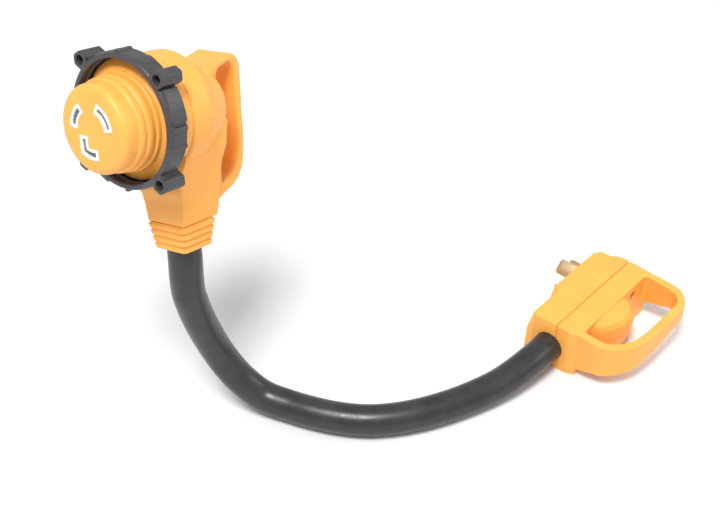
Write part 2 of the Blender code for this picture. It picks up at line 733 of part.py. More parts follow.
def plug_front_shell():
    """The blade side of the plug: a block with a raised face plate, low at the cord end."""
    seam = PLUG_SEAM + GAP / 2
    corners = [(0.0, seam), (PLUG_LONG + 3.8, seam), (PLUG_LONG + 3.4, -9.6), (PLUG_LONG + 0.2, -5.4),
               (PLUG_LONG + 0.4, 2.0), (PLUG_LONG - 8.0, 2.0), (PLUG_LONG - 8.0, 0.0), (0.0, 0.0)]
    outline = rounded(corners, [0.0, 0.0, 1.8, 1.8, 3.0, 0.0, 0.0, 1.0], 3)
    made = plate("plug_front_shell", [outline], 0.0, PLUG_TALL)
    put(made, PLUG, paint=YELLOW_PLASTIC)
    bevel(made, 1.0, 2, 60.0)
    outline = [(0.3, 0.4), (68.0, 0.4), (PLUG_LONG, 4.0), (PLUG_LONG, 26.5), (68.6, 31.2), (27.4, 31.2),
               (24.8, 27.2)]
    outline += arc((14.0, 11.0), 14.0, 55.0, 150.0, 5)
    face = plate("face_plate", [outline], 0.0, PLATE_THICK + 4.0)
    # Local plate x and y are the plug's x and z, and local z is -y.
    face = put(face, PLUG, place=(0.0, PLATE_THICK, 0.0), turn=ACROSS_HEAD)
    boolean(made, face, "UNION")
    hollow = put(box("plug_front_hollow_cut", (PLUG_LONG - 12.8, 10.4, PLUG_TALL - 6.0),
                     (PLUG_LONG / 2 + 4.1, PLUG_SEAM + 5.2, PLUG_TALL / 2)), PLUG)
    boolean(made, hollow, "DIFFERENCE")
    boolean(made, cord_bore("plug_front_bore_cut"), "DIFFERENCE")
    for pole in POLES:
        boolean(made, blade_slot(pole), "DIFFERENCE")


def cord_bore(name):
    bore = rod(name, CORD_RADIUS + 2 * GAP, -4.0, 12.0, 24)
    return put(bore, PLUG, place=CORD_ENTRY, turn=(0.0, 90.0, 0.0))


# Each prong's x and z on the plug's face, and its lean in degrees.
BLADES = {"hot": (51.7, 24.2, -45.0), "neutral": (51.7, 7.8, 45.0), "ground": (67.0, 16.0, 0.0)}
BLADE_TIP = 17.2
BLADE_ROOT = -9.0
BLADE_WIDE = 9.2
BLADE_THICK = 1.8
PIN_RADIUS = 2.5


def blade_slot(pole):
    x, z, lean = BLADES[pole]
    if pole == "ground":
        cut = rod("ground_pin_cut", PIN_RADIUS + GAP, -12.0, 12.0, 20)
        return put(cut, PLUG, place=(x, 0.0, z), turn=(90.0, 0.0, 0.0))
    cut = box(pole + "_blade_cut", (BLADE_WIDE + 2 * GAP, BLADE_THICK + 2 * GAP, 24.0))
    return put(cut, PLUG, place=(x, 0.0, z), turn=(90.0, lean, 0.0))


def blades():
    for pole, (x, z, lean) in BLADES.items():
        if pole == "ground":
            profile = [(0.0, -BLADE_ROOT), (PIN_RADIUS, -BLADE_ROOT), (PIN_RADIUS, -BLADE_TIP),
                       (PIN_RADIUS - 1.0, -BLADE_TIP - 1.3), (0.0, -BLADE_TIP - 1.6)]
            pin = turned("ground_pin", profile, 20)
            put(pin, PLUG, place=(x, 0.0, z), turn=(90.0, 0.0, 0.0), paint=BRASS_METAL)
            continue
        low, high = -BLADE_TIP, -BLADE_ROOT
        corners = [(-BLADE_WIDE / 2, high), (-BLADE_WIDE / 2, low), (BLADE_WIDE / 2, low), (BLADE_WIDE / 2, high)]
        outline = rounded(corners, [0.0, 2.0, 2.0, 0.0], 3)
        blade = plate(pole + "_blade", [outline], -BLADE_THICK / 2, BLADE_THICK / 2)
        blade.data.transform(Matrix.Rotation(math.radians(90.0), 4, "X"))
        put(blade, PLUG, place=(x, 0.0, z), turn=(90.0, lean, 0.0), paint=BRASS_METAL)


def blade_carrier():
    """An insulating block inside the plug that holds the blades' roots."""
    made = box("plug_blade_carrier", (28.0, 2.8, 24.6))
    put(made, PLUG, place=(54.8, -7.5, PLUG_TALL / 2), paint=CARRIER_PLASTIC)
    for pole, (x, z, lean) in BLADES.items():
        if pole == "ground":
            cut = rod("carrier_pin_cut", PIN_RADIUS + GAP, -12.0, 14.0, 20)
            cut = put(cut, PLUG, place=(x, 0.0, z), turn=(90.0, 0.0, 0.0))
        else:
            cut = box(pole + "_carrier_cut", (BLADE_WIDE + 2 * GAP, BLADE_THICK + 2 * GAP, 30.0))
            cut = put(cut, PLUG, place=(x, 0.0, z), turn=(90.0, lean, 0.0))
        boolean(made, cut, "DIFFERENCE")


def plug_terminals():
    for pole, (x, z, lean) in BLADES.items():
        made = turned("plug_%s_terminal" % pole, [(0.0, 4.0), (1.8, 4.0), (1.8, 0.0), (0.0, 0.0)], 14)
        put(made, PLUG, place=(x, BLADE_ROOT - GAP, z), turn=(90.0, 0.0, 0.0), paint=STEEL_METAL)


def plug_conductors():
    """Insulated conductors from the cord's end to the back of each terminal."""
    lanes = {"hot": ((0.0, 3.2), [(40.0, -15.0, 19.0)]),
             "ground": ((-2.8, -1.8), [(44.0, -15.6, 14.0), (54.5, -15.6, 14.4)]),
             "neutral": ((2.8, -1.8), [(36.0, -13.8, 9.4)])}
    for pole, (x, z, lean) in BLADES.items():
        (across, up), between = lanes[pole]
        first = (CORD_ENTRY[0] + 11.6, CORD_ENTRY[1] + across, CORD_ENTRY[2] + up)
        points = [first, (first[0] + 7.0, first[1], first[2])] + between + [(x - 1.0, BLADE_ROOT - 6.4, z)]
        made = tube("plug_%s_conductor" % pole, curved(points, 5), 1.5, 1)
        put(made, PLUG, paint=SLEEVES[pole])


def plug_handle_outline():
    """The rear shell with its D-handle seen from above."""
    seam = PLUG_SEAM - GAP / 2
    outer = [(0.0, seam), (0.0, -26.0), (2.0, -29.0), (2.4, -47.0), (16.0, -59.0), (34.0, GRIP_OUT),
             (67.0, GRIP_OUT), (76.0, -52.0), (75.2, seam)]
    return rounded(outer, [0.0, 2.2, 1.0, 8.0, 8.0, 6.0, 6.0, 5.0, 2.0], 4)


def plug_opening_outline():
    corners = [(7.0, -30.6), (7.2, -45.4), (18.4, -54.6), (34.6, -56.2), (65.4, -56.2), (71.0, -50.4),
               (71.0, -30.6)]
    return rounded(corners, [1.5, 6.0, 6.0, 5.0, 3.8, 3.8, 1.5], 4)


def plug_handle_shell():
    """The rear shell of the plug: a block with a D-handle that thins from the block to the grip."""
    made = plate("plug_handle_shell", [plug_handle_outline()], 0.0, PLUG_TALL)
    put(made, PLUG, paint=YELLOW_PLASTIC)
    bevel(made, 1.1, 2, 60.0)
    opening = put(plate("plug_opening_cut", [plug_opening_outline()], -10.0, 50.0), PLUG)
    boolean(made, opening, "DIFFERENCE")
    fall = [(PLUG_REAR + 6.0, PLUG_TALL), (-80.0, GRIP_TOP - 2.0), (-80.0, 50.0), (PLUG_REAR + 6.0, 50.0)]
    boolean(made, handle_wedge("handle_lift_cut"), "DIFFERENCE")
    boolean(made, side_wedge("handle_top_cut", fall), "DIFFERENCE")
    boolean(made, rear_boss(), "UNION")
    hollow = put(box("plug_rear_hollow_cut", (PLUG_LONG - 12.8, 10.0, PLUG_TALL - 9.0),
                     (PLUG_LONG / 2 + 4.1, PLUG_SEAM - 3.2, PLUG_TALL / 2)), PLUG)
    boolean(made, hollow, "DIFFERENCE")
    boolean(made, cord_bore("plug_rear_bore_cut"), "DIFFERENCE")
    for number, (x, z) in enumerate(PLUG_SCREWS):
        for kind, radius, low, high in (("hole", 1.9, -8.0, 1.0), ("recess", 2.8, -SCREW_SUNK, 5.0)):
            cut = rod("plug_screw_%s_%d" % (kind, number), radius, low, high, 16)
            boolean(made, put(cut, PLUG, place=(x, PLUG_REAR, z), turn=(90.0, 0.0, 0.0)), "DIFFERENCE")


SCREW_SUNK = 2.4
PLUG_SCREWS = ((10.6, 23.6), (58.2, 23.6), (10.6, 8.4), (58.2, 8.4))
# The bulge on the rear wall: height, how far out it stands, and where it ends along the plug.
BOSS = ((0.3, 36.6, 50.8), (6.0, 39.4, 51.4), (13.0, 41.8, 52.2), (20.0, 42.2, 52.4), (24.0, 41.2, 51.8),
        (27.0, 38.6, 50.4), (28.8, 34.6, 48.0), (29.6, 31.6, 45.0))


def handle_wedge(name):
    """What is cut from under the handle: it lifts towards the grip and more towards the plug's far end."""
    sections = []
    for x in (-20.0, 100.0):
        near, far = 4.6 + 0.08 * x, 8.6 + 0.189 * x
        sections.append([(x, PLUG_REAR - 1.4, -1.0), (x, PLUG_REAR - 1.4, near), (x, -80.0, far), (x, -80.0, -1.0)])
    return put(loft(name, sections), PLUG)


def side_wedge(name, outline):
    """A prism across the whole plug from an outline in the plug's y and z."""
    made = plate(name, [outline], -20.0, 100.0)
    made.data.transform(Matrix(((0, 0, 1, 0), (1, 0, 0, 0), (0, 1, 0, 0), (0, 0, 0, 1))))
    return put(made, PLUG)


def boss_section(height, out, right, left=14.6, base=25.0, steps=14):
    """Half a flattened round, fuller towards the plug's far end."""
    points = []
    for step in range(steps + 1):
        turn = math.pi * step / steps
        share = ((1.0 - math.cos(turn)) / 2) ** 0.8
        points.append((left + (right - left) * share, -base - (out - base) * math.sin(turn) ** 0.7, height))
    return points


def rear_boss():
    """The half-round bulge on the rear wall, which draws in towards the ground and the top."""
    return put(loft("rear_boss", [boss_section(*row) for row in BOSS]), PLUG)


def plug_screws():
    for number, (x, z) in enumerate(PLUG_SCREWS):
        screw("plug_shell_screw_%d" % (number + 1), PLUG, (x, PLUG_REAR + SCREW_SUNK - GAP, z),
              (90.0, 0.0, 0.0), 5.0, 2.4, 1.5)


def plug_cord_clamp():
    """A saddle just inside the plug that grips the cord's end."""
    outline = rounded([(-8.6, -6.8), (8.6, -6.8), (8.6, 6.8), (-8.6, 6.8)], [2.0] * 4, 2)
    made = plate("plug_cord_clamp", [outline, arc((0.0, 0.0), 5.6, 0.0, 345.0, 23)], 0.0, 3.0)
    put(made, PLUG, place=(CORD_ENTRY[0] + 13.0, CORD_ENTRY[1], CORD_ENTRY[2]), turn=(0.0, 90.0, 0.0),
        paint=CARRIER_PLASTIC)


# ---------------------------------------------------------------- build

def build_head():
    barrel()
    contact_carrier()
    for pole in POLES:
        slot_liner(pole)
        contact(pole)
        terminal_screw(pole)
        head_conductor(pole)
    lock_ring()
    thrust_washer()
    front_shell()
    handle_shell()
    head_screws()
    strain_relief()
    cord_clamp()


def build_plug():
    plug_front_shell()
    plug_handle_shell()
    blade_carrier()
    blades()
    plug_terminals()
    plug_conductors()
    plug_screws()
    plug_cord_clamp()


build_head()
cord()
build_plug()
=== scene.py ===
"""The power adapter dogbone as it looks: a yellow connector head with a black lock ring, a stiff black
cord, and a yellow plug with a D-handle. Lengths below are in millimetres in the head's or the plug's own
frame, and become metres in the row frame as a piece is placed.
"""

import json
import math

import bmesh
import bpy
import numpy as np
from mathutils import Euler, Matrix, Vector


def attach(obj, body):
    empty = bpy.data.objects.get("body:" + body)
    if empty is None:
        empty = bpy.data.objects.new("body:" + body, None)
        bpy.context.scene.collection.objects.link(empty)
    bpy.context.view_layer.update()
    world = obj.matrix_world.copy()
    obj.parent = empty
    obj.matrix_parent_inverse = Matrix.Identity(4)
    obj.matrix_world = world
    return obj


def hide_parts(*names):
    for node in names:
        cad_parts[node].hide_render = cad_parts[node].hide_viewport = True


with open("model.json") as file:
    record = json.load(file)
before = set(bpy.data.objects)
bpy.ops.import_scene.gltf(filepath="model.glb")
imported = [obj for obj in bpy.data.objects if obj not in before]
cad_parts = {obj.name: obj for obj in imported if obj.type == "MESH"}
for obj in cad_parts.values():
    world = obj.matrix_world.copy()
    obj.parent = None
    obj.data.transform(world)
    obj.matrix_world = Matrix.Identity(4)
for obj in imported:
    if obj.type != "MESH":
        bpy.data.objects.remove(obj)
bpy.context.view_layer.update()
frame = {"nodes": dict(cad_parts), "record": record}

MM = 0.001

# Where the head, the plug and the origin are. Turns are in degrees about x, y and z.
ORIGIN_SHIFT = Vector((-35.89, -2.59, 0.0))
HEAD_PLACE = Vector((-78.0, 78.8, 192.3))
HEAD_TURN = (-13.75, 14.2, 2.9)
PLUG_PLACE = Vector((95.0, -47.0, 0.0))

# Camera, floor and lights. The floor and the lights are in metres.
CAMERA_PLACE = Vector((-379.5, -334.7, 528.8))
CAMERA_YAW = math.radians(41.41)
CAMERA_PITCH = math.radians(40.0)
SENSOR_WIDTH = 36.0
LENS = 65.0
CLIP_START = 0.01
FLOOR_HALF = 4.0
FLOOR_DARK = (0.76, 0.76, 0.77)
FLOOR_LIGHT = (0.79, 0.79, 0.80)
FLOOR_ROUGH = 0.8
FLOOR_SCALE = 1.5
WORLD_POWER = 0.62
LIGHT_TARGET = (0.0, 0.0, 0.1)
# Name, place, size and power.
LIGHTS = (("key", (-1.2, -0.5, 3.1), (1.0, 1.0), 106.0), ("side", (0.9, -0.9, 0.8), (0.9, 0.5), 4.0))

# Textures. The scales are per metre, and the two distances are in metres.
GRAIN_SCALE = 2600.0
GRAIN_DISTANCE = 0.0002
SHEEN_SCALE = 90.0
SCRATCH_SCALE = 500.0
SCRATCH_STRETCH = (1.0, 6.0, 1.0)
UNDER_RADIUS = (1.0, 0.45, 0.12)
UNDER_SCALE = 0.003

# Meshes. The two welding distances are in metres, and the voxels and bevels further down in millimetres.
WELD = 0.000002
POLE_WELD = 0.00001
BEVEL_ANGLE = math.radians(50.0)
SMOOTH_ANGLE = 38.0
EASE = 0.5
MITRE_LIMIT = 0.5
CUT_PAST = 2.0
FINE_SIDES = 128
ROD_SIDES = 48
SMALL_SIDES = 32

# Barrel and slots.
BARREL_FRONT = -17.3
BARREL_RADIUS = 21.3
BARREL_BORE = 17.9
FACE_THICK = 3.6
FACE_BACK = BARREL_FRONT + FACE_THICK
SLOT_CIRCLE = 11.4
SLOT_HALF = 1.2
SLOT_ARCS = {"neutral": (127.0, 172.0), "hot": (10.0, 63.0), "ground": (240.0, 278.0)}
SLOT_STEPS = {"neutral": 12, "hot": 12, "ground": 4}
GROUND_LEG = 5.6
LINER_WALL = 1.4
LINER_GAP = 0.05
LINER_PROUD = 0.3
LINER_EDGE = 0.18
# Painted shade in the slots: the plates that stand in for it are this much narrower than the slot, and sunk
# this far below the face.
SHADE_GAP = 0.06
SHADE_SUNK = 0.7
# The domed edge of the face: radius beyond the barrel's, and distance behind the face.
FACE_EDGE = ((-4.1, 0.0), (-3.2, 0.1), (-2.3, 0.35), (-1.4, 0.85), (-0.7, 1.5), (-0.25, 2.3), (-0.05, 3.1),
             (0.0, 3.9))
# The ridges: radius beyond the barrel's, and place along the head's axis.
RIDGES = ((0.1, -8.4), (0.45, -7.9), (0.95, -7.6), (1.15, -7.2), (1.2, -5.2), (0.95, -4.8), (0.5, -4.5),
          (0.4, -4.1), (0.7, -3.6), (1.6, -3.1), (1.8, -2.7), (1.85, -0.3), (1.7, 0.0), (1.2, 0.15),
          (1.15, 0.9), (1.6, 1.1), (2.3, 1.2), (2.6, 1.5), (2.7, 3.4), (3.1, 4.0))
# The flange that holds the lock ring: radius, and place along the head's axis.
FLANGE = ((28.2, 6.1), (28.9, 6.6), (29.0, 7.2), (29.0, 9.0), (24.6, 9.0))

# Lock ring.
RING_DEPTH = 12.0
RING_BORE = 29.7
RING_ROOT = RING_BORE + 1.2
RING_LIP = 32.4
RING_BODY = 32.9
RING_BACK = 10.8
RING_BLOCK = 34.6
BLOCK_SUNK = 1.1
# Blocks and ribs on one half of the rim: first and last angle, first and last depth, outer radius.
RAISED = ((48.0, 66.0, 1.0, 9.6, RING_BLOCK - 0.5), (4.7, 32.1, 1.0, 9.8, RING_BLOCK),
          (-3.0, 1.5, 1.2, 10.2, RING_BODY + 0.8), (-18.0, -14.0, 0.8, 10.4, RING_BODY + 1.0),
          (86.0, 90.0, 0.8, 10.4, RING_BODY + 1.0))
RING_VOXEL = 0.34
RING_ROUNDS = 2
LUG_RADIUS = 4.4
LUG_CIRCLE = 35.2
LUG_ANGLES = (40.0, 130.0, 220.0, 310.0)
LUG_PAST = 0.5
LUG_EDGE = 0.5
SOCKET_MOUTH = 2.5
SOCKET_END = 2.2
SOCKET_DEPTH = 7.0
SOCKET_PAST = 3.0

# Housing of the head.
COLLAR_FRONT = 14.6
COLLAR_RADIUS = 27.2
DRUM_FRONT = 20.2
COLLAR_BACK = DRUM_FRONT - 0.05
DRUM_SEAM = 33.0
DRUM_BACK = 51.0
DRUM_RADIUS = 28.4
NECK_TOP = -42.0
NECK_FOOT = -56.4
NECK_HALF = 11.9
NECK_FRONT = 22.4
NECK_BACK = 44.8
NECK_CENTRE = (NECK_FRONT + NECK_BACK) / 2
NECK_DEEP = (NECK_BACK - NECK_FRONT) / 2
# The neck from the front, half of it: half width, and height.
NECK_SIDE = ((21.2, -7.0), (20.6, -20.0), (17.4, -27.0), (13.9, NECK_TOP), (NECK_HALF + 0.2, NECK_FOOT))
# What the neck is trimmed to: height, front and back along the head's axis, and half width.
NECK_TRIM = ((40.0, 15.0, 54.0, 40.0), (0.0, 15.0, 50.6, 40.0), (-8.0, 15.0, 49.8, 40.0),
             (-20.0, 15.0, 48.2, 40.0), (-32.0, 18.4, 48.0, 30.0), (-44.0, 21.6, 48.6, 30.0),
             (NECK_FOOT, NECK_FRONT, 47.2, 20.0))
# The rear body along the head's axis: x, half width, height above the axis and depth below it.
DOME = ((33.0, 27.9, 27.8, 27.8), (35.5, 26.9, 26.2, 27.0), (38.5, 26.0, 23.2, 26.0),
        (41.5, 25.0, 20.8, 25.0), (45.5, 23.6, 19.6, 23.4), (48.6, 21.8, 18.6, 21.4),
        (50.6, 19.4, 17.0, 19.4), (51.6, 16.4, 14.6, 17.0))
NECK_EDGE = 1.9
BODY_VOXEL = 0.7
BODY_ROUNDS = 5

# The head's D-handle. Outlines are corners along the head's axis and up, each with its rounding.
GRIP_HALF = 11.5
STRAP = ((46.0, 17.6, 0.0), (52.0, 18.4, 2.6), (60.0, 19.6, 3.0), (66.8, 21.6, 2.4), (70.8, 17.0, 3.2),
         (70.6, -27.0, 8.0), (66.6, -42.0, 8.0), (46.0, -50.5, 0.0))
GRIP_OPENING = ((53.6, 14.9, 1.5), (64.4, 18.2, 2.7), (67.0, 13.0, 2.7), (66.8, -26.4, 5.6),
                (63.2, -37.4, 5.0), (52.6, -42.0, 1.5))
# The root of the strap: x, half width, lower and upper height.
STRAP_ROOT = ((44.8, 16.2, 7.2, 17.4), (48.0, 14.6, 9.2, 17.8), (53.0, 12.4, 12.0, 18.6),
              (58.0, 11.6, 13.8, 19.1))
ROOT_ROUNDING = (1.0, 1.0, 4.0, 4.0)
STRAP_EDGE = 0.9
OPENING_HALF = 40.0
# Where each screw seats along the head's axis, and its place across and up.
HEAD_SCREWS = ((48.4, -15.4, 6.4), (48.4, 15.4, 6.4), (46.8, -14.8, -13.0), (46.8, 14.8, -13.0))
HEAD_RECESS = 3.4
HEAD_RECESS_DEPTH = 9.0

# Strain relief: each band's skin is how far below its upper edge, and how much it draws in there.
RELIEF_TOP = NECK_FOOT - 0.1
RELIEF_FOOT = -70.8
RELIEF_BANDS = 4
RELIEF_ROUNDING = 2.6
BAND_TALL = (RELIEF_TOP - RELIEF_FOOT) / RELIEF_BANDS
BAND_SKIN = ((0.0, 0.07), (0.5, 0.065), (0.75, 0.02), (1.1, 0.0), (BAND_TALL - 0.5, 0.03))
BAND_WIDE = 1.06
BAND_TAPER = 0.045
# Below the last band: scale, and height over the foot.
RELIEF_TAIL = ((0.84, 0.3), (0.80, 0.0))
RELIEF_GAP = 0.15
RELIEF_PAST = 3.0

# Cord. The route is in the row frame before the origin shift.
CORD_RADIUS = 8.75
CORD_TOP = NECK_FOOT - 0.6
CORD_STRAIGHT = 6.0
CORD_IN_PLUG = 11.0
CORD_STEPS = 8
CORD_ROUTE = ((-63.7, 60.8, 91.5), (-61.8, 60.6, 79.5), (-58.9, 60.4, 67.5), (-55.1, 59.8, 54.5),
              (-51.2, 57.6, 41.5), (-47.4, 53.0, 29.0), (-43.6, 46.0, 18.8), (-39.0, 36.0, 11.0),
              (-34.0, 23.3, 8.9), (-28.8, 9.0, 8.8), (-22.0, -5.0, 8.8), (-12.9, -18.0, 8.8),
              (0.2, -29.8, 8.8), (16.3, -39.8, 8.8), (35.0, -48.2, 8.9), (54.0, -54.8, 10.0),
              (66.4, -57.5, 11.6), (79.3, -59.2, 13.2))
SHORTEST_SPAN = 1e-6

# Plug.
PLUG_LONG = 71.5
PLUG_TALL = 31.5
PLUG_SEAM = -16.2
SEAM_GAP = 0.08
PLUG_REAR = -29.0
PLUG_PAST = (-20.0, 100.0)    # past both ends of the plug
PLATE_THICK = 3.8
CORD_ENTRY = (0.0, -12.9, 14.2)
ENTRY_GAP = 0.1
ENTRY_BORE = (-4.0, 12.0)
PLUG_EDGE = 0.8
# The front shell from above: corners along and out of the plug, each with its rounding.
PLUG_FRONT = ((0.0, PLUG_SEAM + SEAM_GAP, 0.6), (PLUG_LONG + 3.8, PLUG_SEAM + SEAM_GAP, 0.6),
              (PLUG_LONG + 3.4, -9.6, 1.8), (PLUG_LONG + 0.2, -5.4, 1.8), (PLUG_LONG + 0.4, 2.0, 3.0),
              (PLUG_LONG - 8.0, 2.0, 0.0), (PLUG_LONG - 8.0, 0.0, 0.0), (0.0, 0.0, 1.0))
# The raised plate: corners along and up, then a round end.
FACE_PLATE = ((0.3, 0.4), (68.0, 0.4), (PLUG_LONG, 4.0), (PLUG_LONG, 26.5), (68.6, 31.4), (27.4, 31.4),
              (24.8, 27.2))
PLATE_ROUND_AT = (14.0, 11.0)
PLATE_ROUND = 14.0
PLATE_ROUND_TURN = (55.0, 150.0)
PLATE_ROOT = 4.0
PLATE_EDGE = 0.7

# The plug's D-handle from above, and its opening: corners, each with its rounding.
GRIP_OUT = -61.0
GRIP_TOP = 29.4
GRIP_FAR = -80.0
PLUG_GRIP = ((0.0, PLUG_SEAM - SEAM_GAP, 0.4), (0.0, -26.0, 2.2), (2.0, -29.0, 1.0), (2.4, -47.0, 8.0),
             (16.0, -59.0, 8.0), (34.0, GRIP_OUT, 6.0), (67.0, GRIP_OUT, 6.0), (76.0, -52.0, 5.0),
             (75.2, PLUG_SEAM - SEAM_GAP, 2.0))
PLUG_OPENING = ((7.0, -30.6, 1.5), (7.2, -45.4, 6.0), (18.4, -54.6, 6.0), (34.6, -56.2, 5.0),
                (65.4, -56.2, 3.8), (71.0, -50.4, 3.8), (71.0, -30.6, 1.5))
PLUG_OPENING_CUT = (-10.0, 50.0)
# The handle's underside at its near and far edge: height at the plug's start, and rise along the plug.
LIFT_NEAR = (4.6, 0.08)
LIFT_FAR = (8.6, 0.189)
LIFT_START = PLUG_REAR - 1.4
# What is cut from over the handle, so that it falls from the rear wall to the grip: corners out of the
# plug and up.
GRIP_FALL = ((PLUG_REAR + 6.0, PLUG_TALL), (GRIP_FAR, GRIP_TOP - 2.0), (GRIP_FAR, 50.0),
             (PLUG_REAR + 6.0, 50.0))
# The bulge on the rear wall: height, how far out it stands, and where it ends along the plug.
BOSS = ((0.3, 36.6, 50.8), (6.0, 39.4, 51.4), (13.0, 41.8, 52.2), (20.0, 42.2, 52.4), (24.0, 41.2, 51.8),
        (27.0, 38.6, 50.4), (28.8, 34.6, 48.0), (29.6, 31.6, 45.0))
BOSS_START = 14.6
BOSS_BASE = 25.0
BOSS_FULL_ALONG = 0.8
BOSS_FULL_OUT = 0.7
PLUG_VOXEL = 0.45
PLUG_ROUNDS = 4
PLUG_SCREWS = ((10.6, 23.6), (58.2, 23.6), (10.6, 8.4), (58.2, 8.4))
SCREW_SUNK = 2.4
PLUG_RECESS = 2.8
PLUG_RECESS_PAST = 5.0

# Blades and pin: place along and up the plug, and lean in degrees.
BLADES = {"hot": (51.7, 24.2, -45.0), "neutral": (51.7, 7.8, 45.0), "ground": (67.0, 16.0, 0.0)}
BLADE_TIP = 17.2
BLADE_ROOT = -9.0
BLADE_WIDE = 9.2
BLADE_THICK = 1.8
BLADE_ROUNDING = 2.4
BLADE_GAP = 0.4
BLADE_CUT = 18.0
BLADE_EDGE = 0.35
PIN_RADIUS = 2.5
PIN_GAP = 0.2
PIN_CUT = (-12.0, 6.0)
PIN_NOSE = 1.6
PIN_NOSE_TURNS = (0.3, 0.6, 0.9, 1.2, 1.45)


def frame_matrix(place, turn=(0.0, 0.0, 0.0)):
    angles = Euler([math.radians(value) for value in turn])
    return Matrix.LocRotScale((place + ORIGIN_SHIFT) * MM, angles, Vector((1.0, 1.0, 1.0)))


HEAD = frame_matrix(HEAD_PLACE, HEAD_TURN)
PLUG = frame_matrix(PLUG_PLACE)
QUARTER = math.radians(90.0)
ALONG = Matrix.Rotation(QUARTER, 4, "Y")     # local z runs along x
ACROSS = Matrix.Rotation(QUARTER, 4, "X")    # local x, y are the frame's x, z; local z is -y
UP_TO_ALONG = Matrix(((0, 0, 1, 0), (1, 0, 0, 0), (0, 1, 0, 0), (0, 0, 0, 1)))    # local x, y, z are y, z, x


# ---------------------------------------------------------------- camera

def make_camera():
    camera = bpy.data.objects.new("camera", bpy.data.cameras.new("camera"))
    camera.data.sensor_width = SENSOR_WIDTH
    camera.data.lens = LENS
    camera.data.clip_start = CLIP_START
    camera.location = (CAMERA_PLACE + ORIGIN_SHIFT) * MM
    level = math.cos(CAMERA_PITCH)
    view = Vector((math.cos(CAMERA_YAW) * level, math.sin(CAMERA_YAW) * level, -math.sin(CAMERA_PITCH)))
    camera.rotation_euler = view.to_track_quat("-Z", "Y").to_euler()
    bpy.context.scene.collection.objects.link(camera)
    bpy.context.scene.camera = camera


make_camera()


# ---------------------------------------------------------------- materials

def shader_of(name):
    made = bpy.data.materials.new(name)
    made.use_nodes = True
    return made, made.node_tree.nodes["Principled BSDF"], made.node_tree


def noise(tree, scale, detail=3.0, stretch=(1.0, 1.0, 1.0)):
    """A noise texture in the piece's own coordinates."""
    coords = tree.nodes.new("ShaderNodeTexCoord")
    mapping = tree.nodes.new("ShaderNodeMapping")
    mapping.inputs["Scale"].default_value = stretch
    made = tree.nodes.new("ShaderNodeTexNoise")
    made.inputs["Scale"].default_value = scale
    made.inputs["Detail"].default_value = detail
    tree.links.new(coords.outputs["Object"], mapping.inputs["Vector"])
    tree.links.new(mapping.outputs["Vector"], made.inputs["Vector"])
    return made


def ramp(tree, source, low, high):
    """Two colours, each with the place on the scale where it is reached."""
    made = tree.nodes.new("ShaderNodeValToRGB")
    for element, (place, colour) in zip(made.color_ramp.elements, (low, high)):
        element.position = place
        element.color = (*colour, 1.0)
    tree.links.new(source, made.inputs["Fac"])
    return made


def grey(value):
    return (value, value, value)


def moulded(name, light, dark, rough, spread=0.06, grain=0.05, sheen_scale=SHEEN_SCALE, under=0.0,
            specular=0.5):
    """Moulded plastic or rubber: slow colour variation, uneven gloss and a fine mould texture."""
    made, shader, tree = shader_of(name)
    slow = noise(tree, sheen_scale, 4.0)
    colour = ramp(tree, slow.outputs["Fac"], (0.35, dark), (0.68, light))
    tree.links.new(colour.outputs["Color"], shader.inputs["Base Color"])
    uneven = noise(tree, sheen_scale * 4.0)
    gloss = ramp(tree, uneven.outputs["Fac"], (0.3, grey(rough - spread)), (0.7, grey(rough + spread)))
    tree.links.new(gloss.outputs["Color"], shader.inputs["Roughness"])
    fine = noise(tree, GRAIN_SCALE, 2.0)
    bump = tree.nodes.new("ShaderNodeBump")
    bump.inputs["Strength"].default_value = grain
    bump.inputs["Distance"].default_value = GRAIN_DISTANCE
    tree.links.new(fine.outputs["Fac"], bump.inputs["Height"])
    tree.links.new(bump.outputs["Normal"], shader.inputs["Normal"])
    shader.inputs["Specular IOR Level"].default_value = specular
    if under > 0.0:
        shader.inputs["Subsurface Weight"].default_value = under
        shader.inputs["Subsurface Radius"].default_value = UNDER_RADIUS
        shader.inputs["Subsurface Scale"].default_value = UNDER_SCALE
    return made


def metal(name, light, dark, rough):
    made, shader, tree = shader_of(name)
    scratch = noise(tree, SCRATCH_SCALE, 4.0, SCRATCH_STRETCH)
    colour = ramp(tree, scratch.outputs["Fac"], (0.3, dark), (0.7, light))
    tree.links.new(colour.outputs["Color"], shader.inputs["Base Color"])
    gloss = ramp(tree, scratch.outputs["Fac"], (0.3, grey(rough + 0.08)), (0.7, grey(rough - 0.05)))
    tree.links.new(gloss.outputs["Color"], shader.inputs["Roughness"])
    shader.inputs["Metallic"].default_value = 1.0
    return made


YELLOW = moulded("yellow_plastic_look", (0.95, 0.430, 0.082), (0.93, 0.400, 0.072), 0.42, under=0.10,
                 specular=0.4)
BLACK = moulded("black_plastic_look", (0.058, 0.058, 0.064), (0.042, 0.042, 0.047), 0.36, 0.05, 0.06)
RUBBER = moulded("cord_rubber_look", (0.030, 0.030, 0.032), (0.020, 0.020, 0.022), 0.34, 0.05, 0.04)
WHITE = moulded("white_plastic_look", (0.86, 0.86, 0.85), (0.78, 0.78, 0.77), 0.4)
CARRIER = moulded("carrier_plastic_look", (0.035, 0.035, 0.035), (0.02, 0.02, 0.02), 0.6)
# Painted shade: the dark grey of the plates that stand in for the shade inside the slots.
SLOT_SHADE_LOOK = moulded("slot_shade_look", (0.20, 0.19, 0.20), (0.10, 0.095, 0.10), 0.6, sheen_scale=700.0)
GREEN = moulded("green_sleeve_look", (0.03, 0.30, 0.08), (0.02, 0.22, 0.06), 0.5)
BRASS = metal("brass_look", (0.83, 0.62, 0.36), (0.72, 0.50, 0.26), 0.28)
STEEL = metal("steel_look", (0.62, 0.62, 0.63), (0.45, 0.45, 0.46), 0.32)
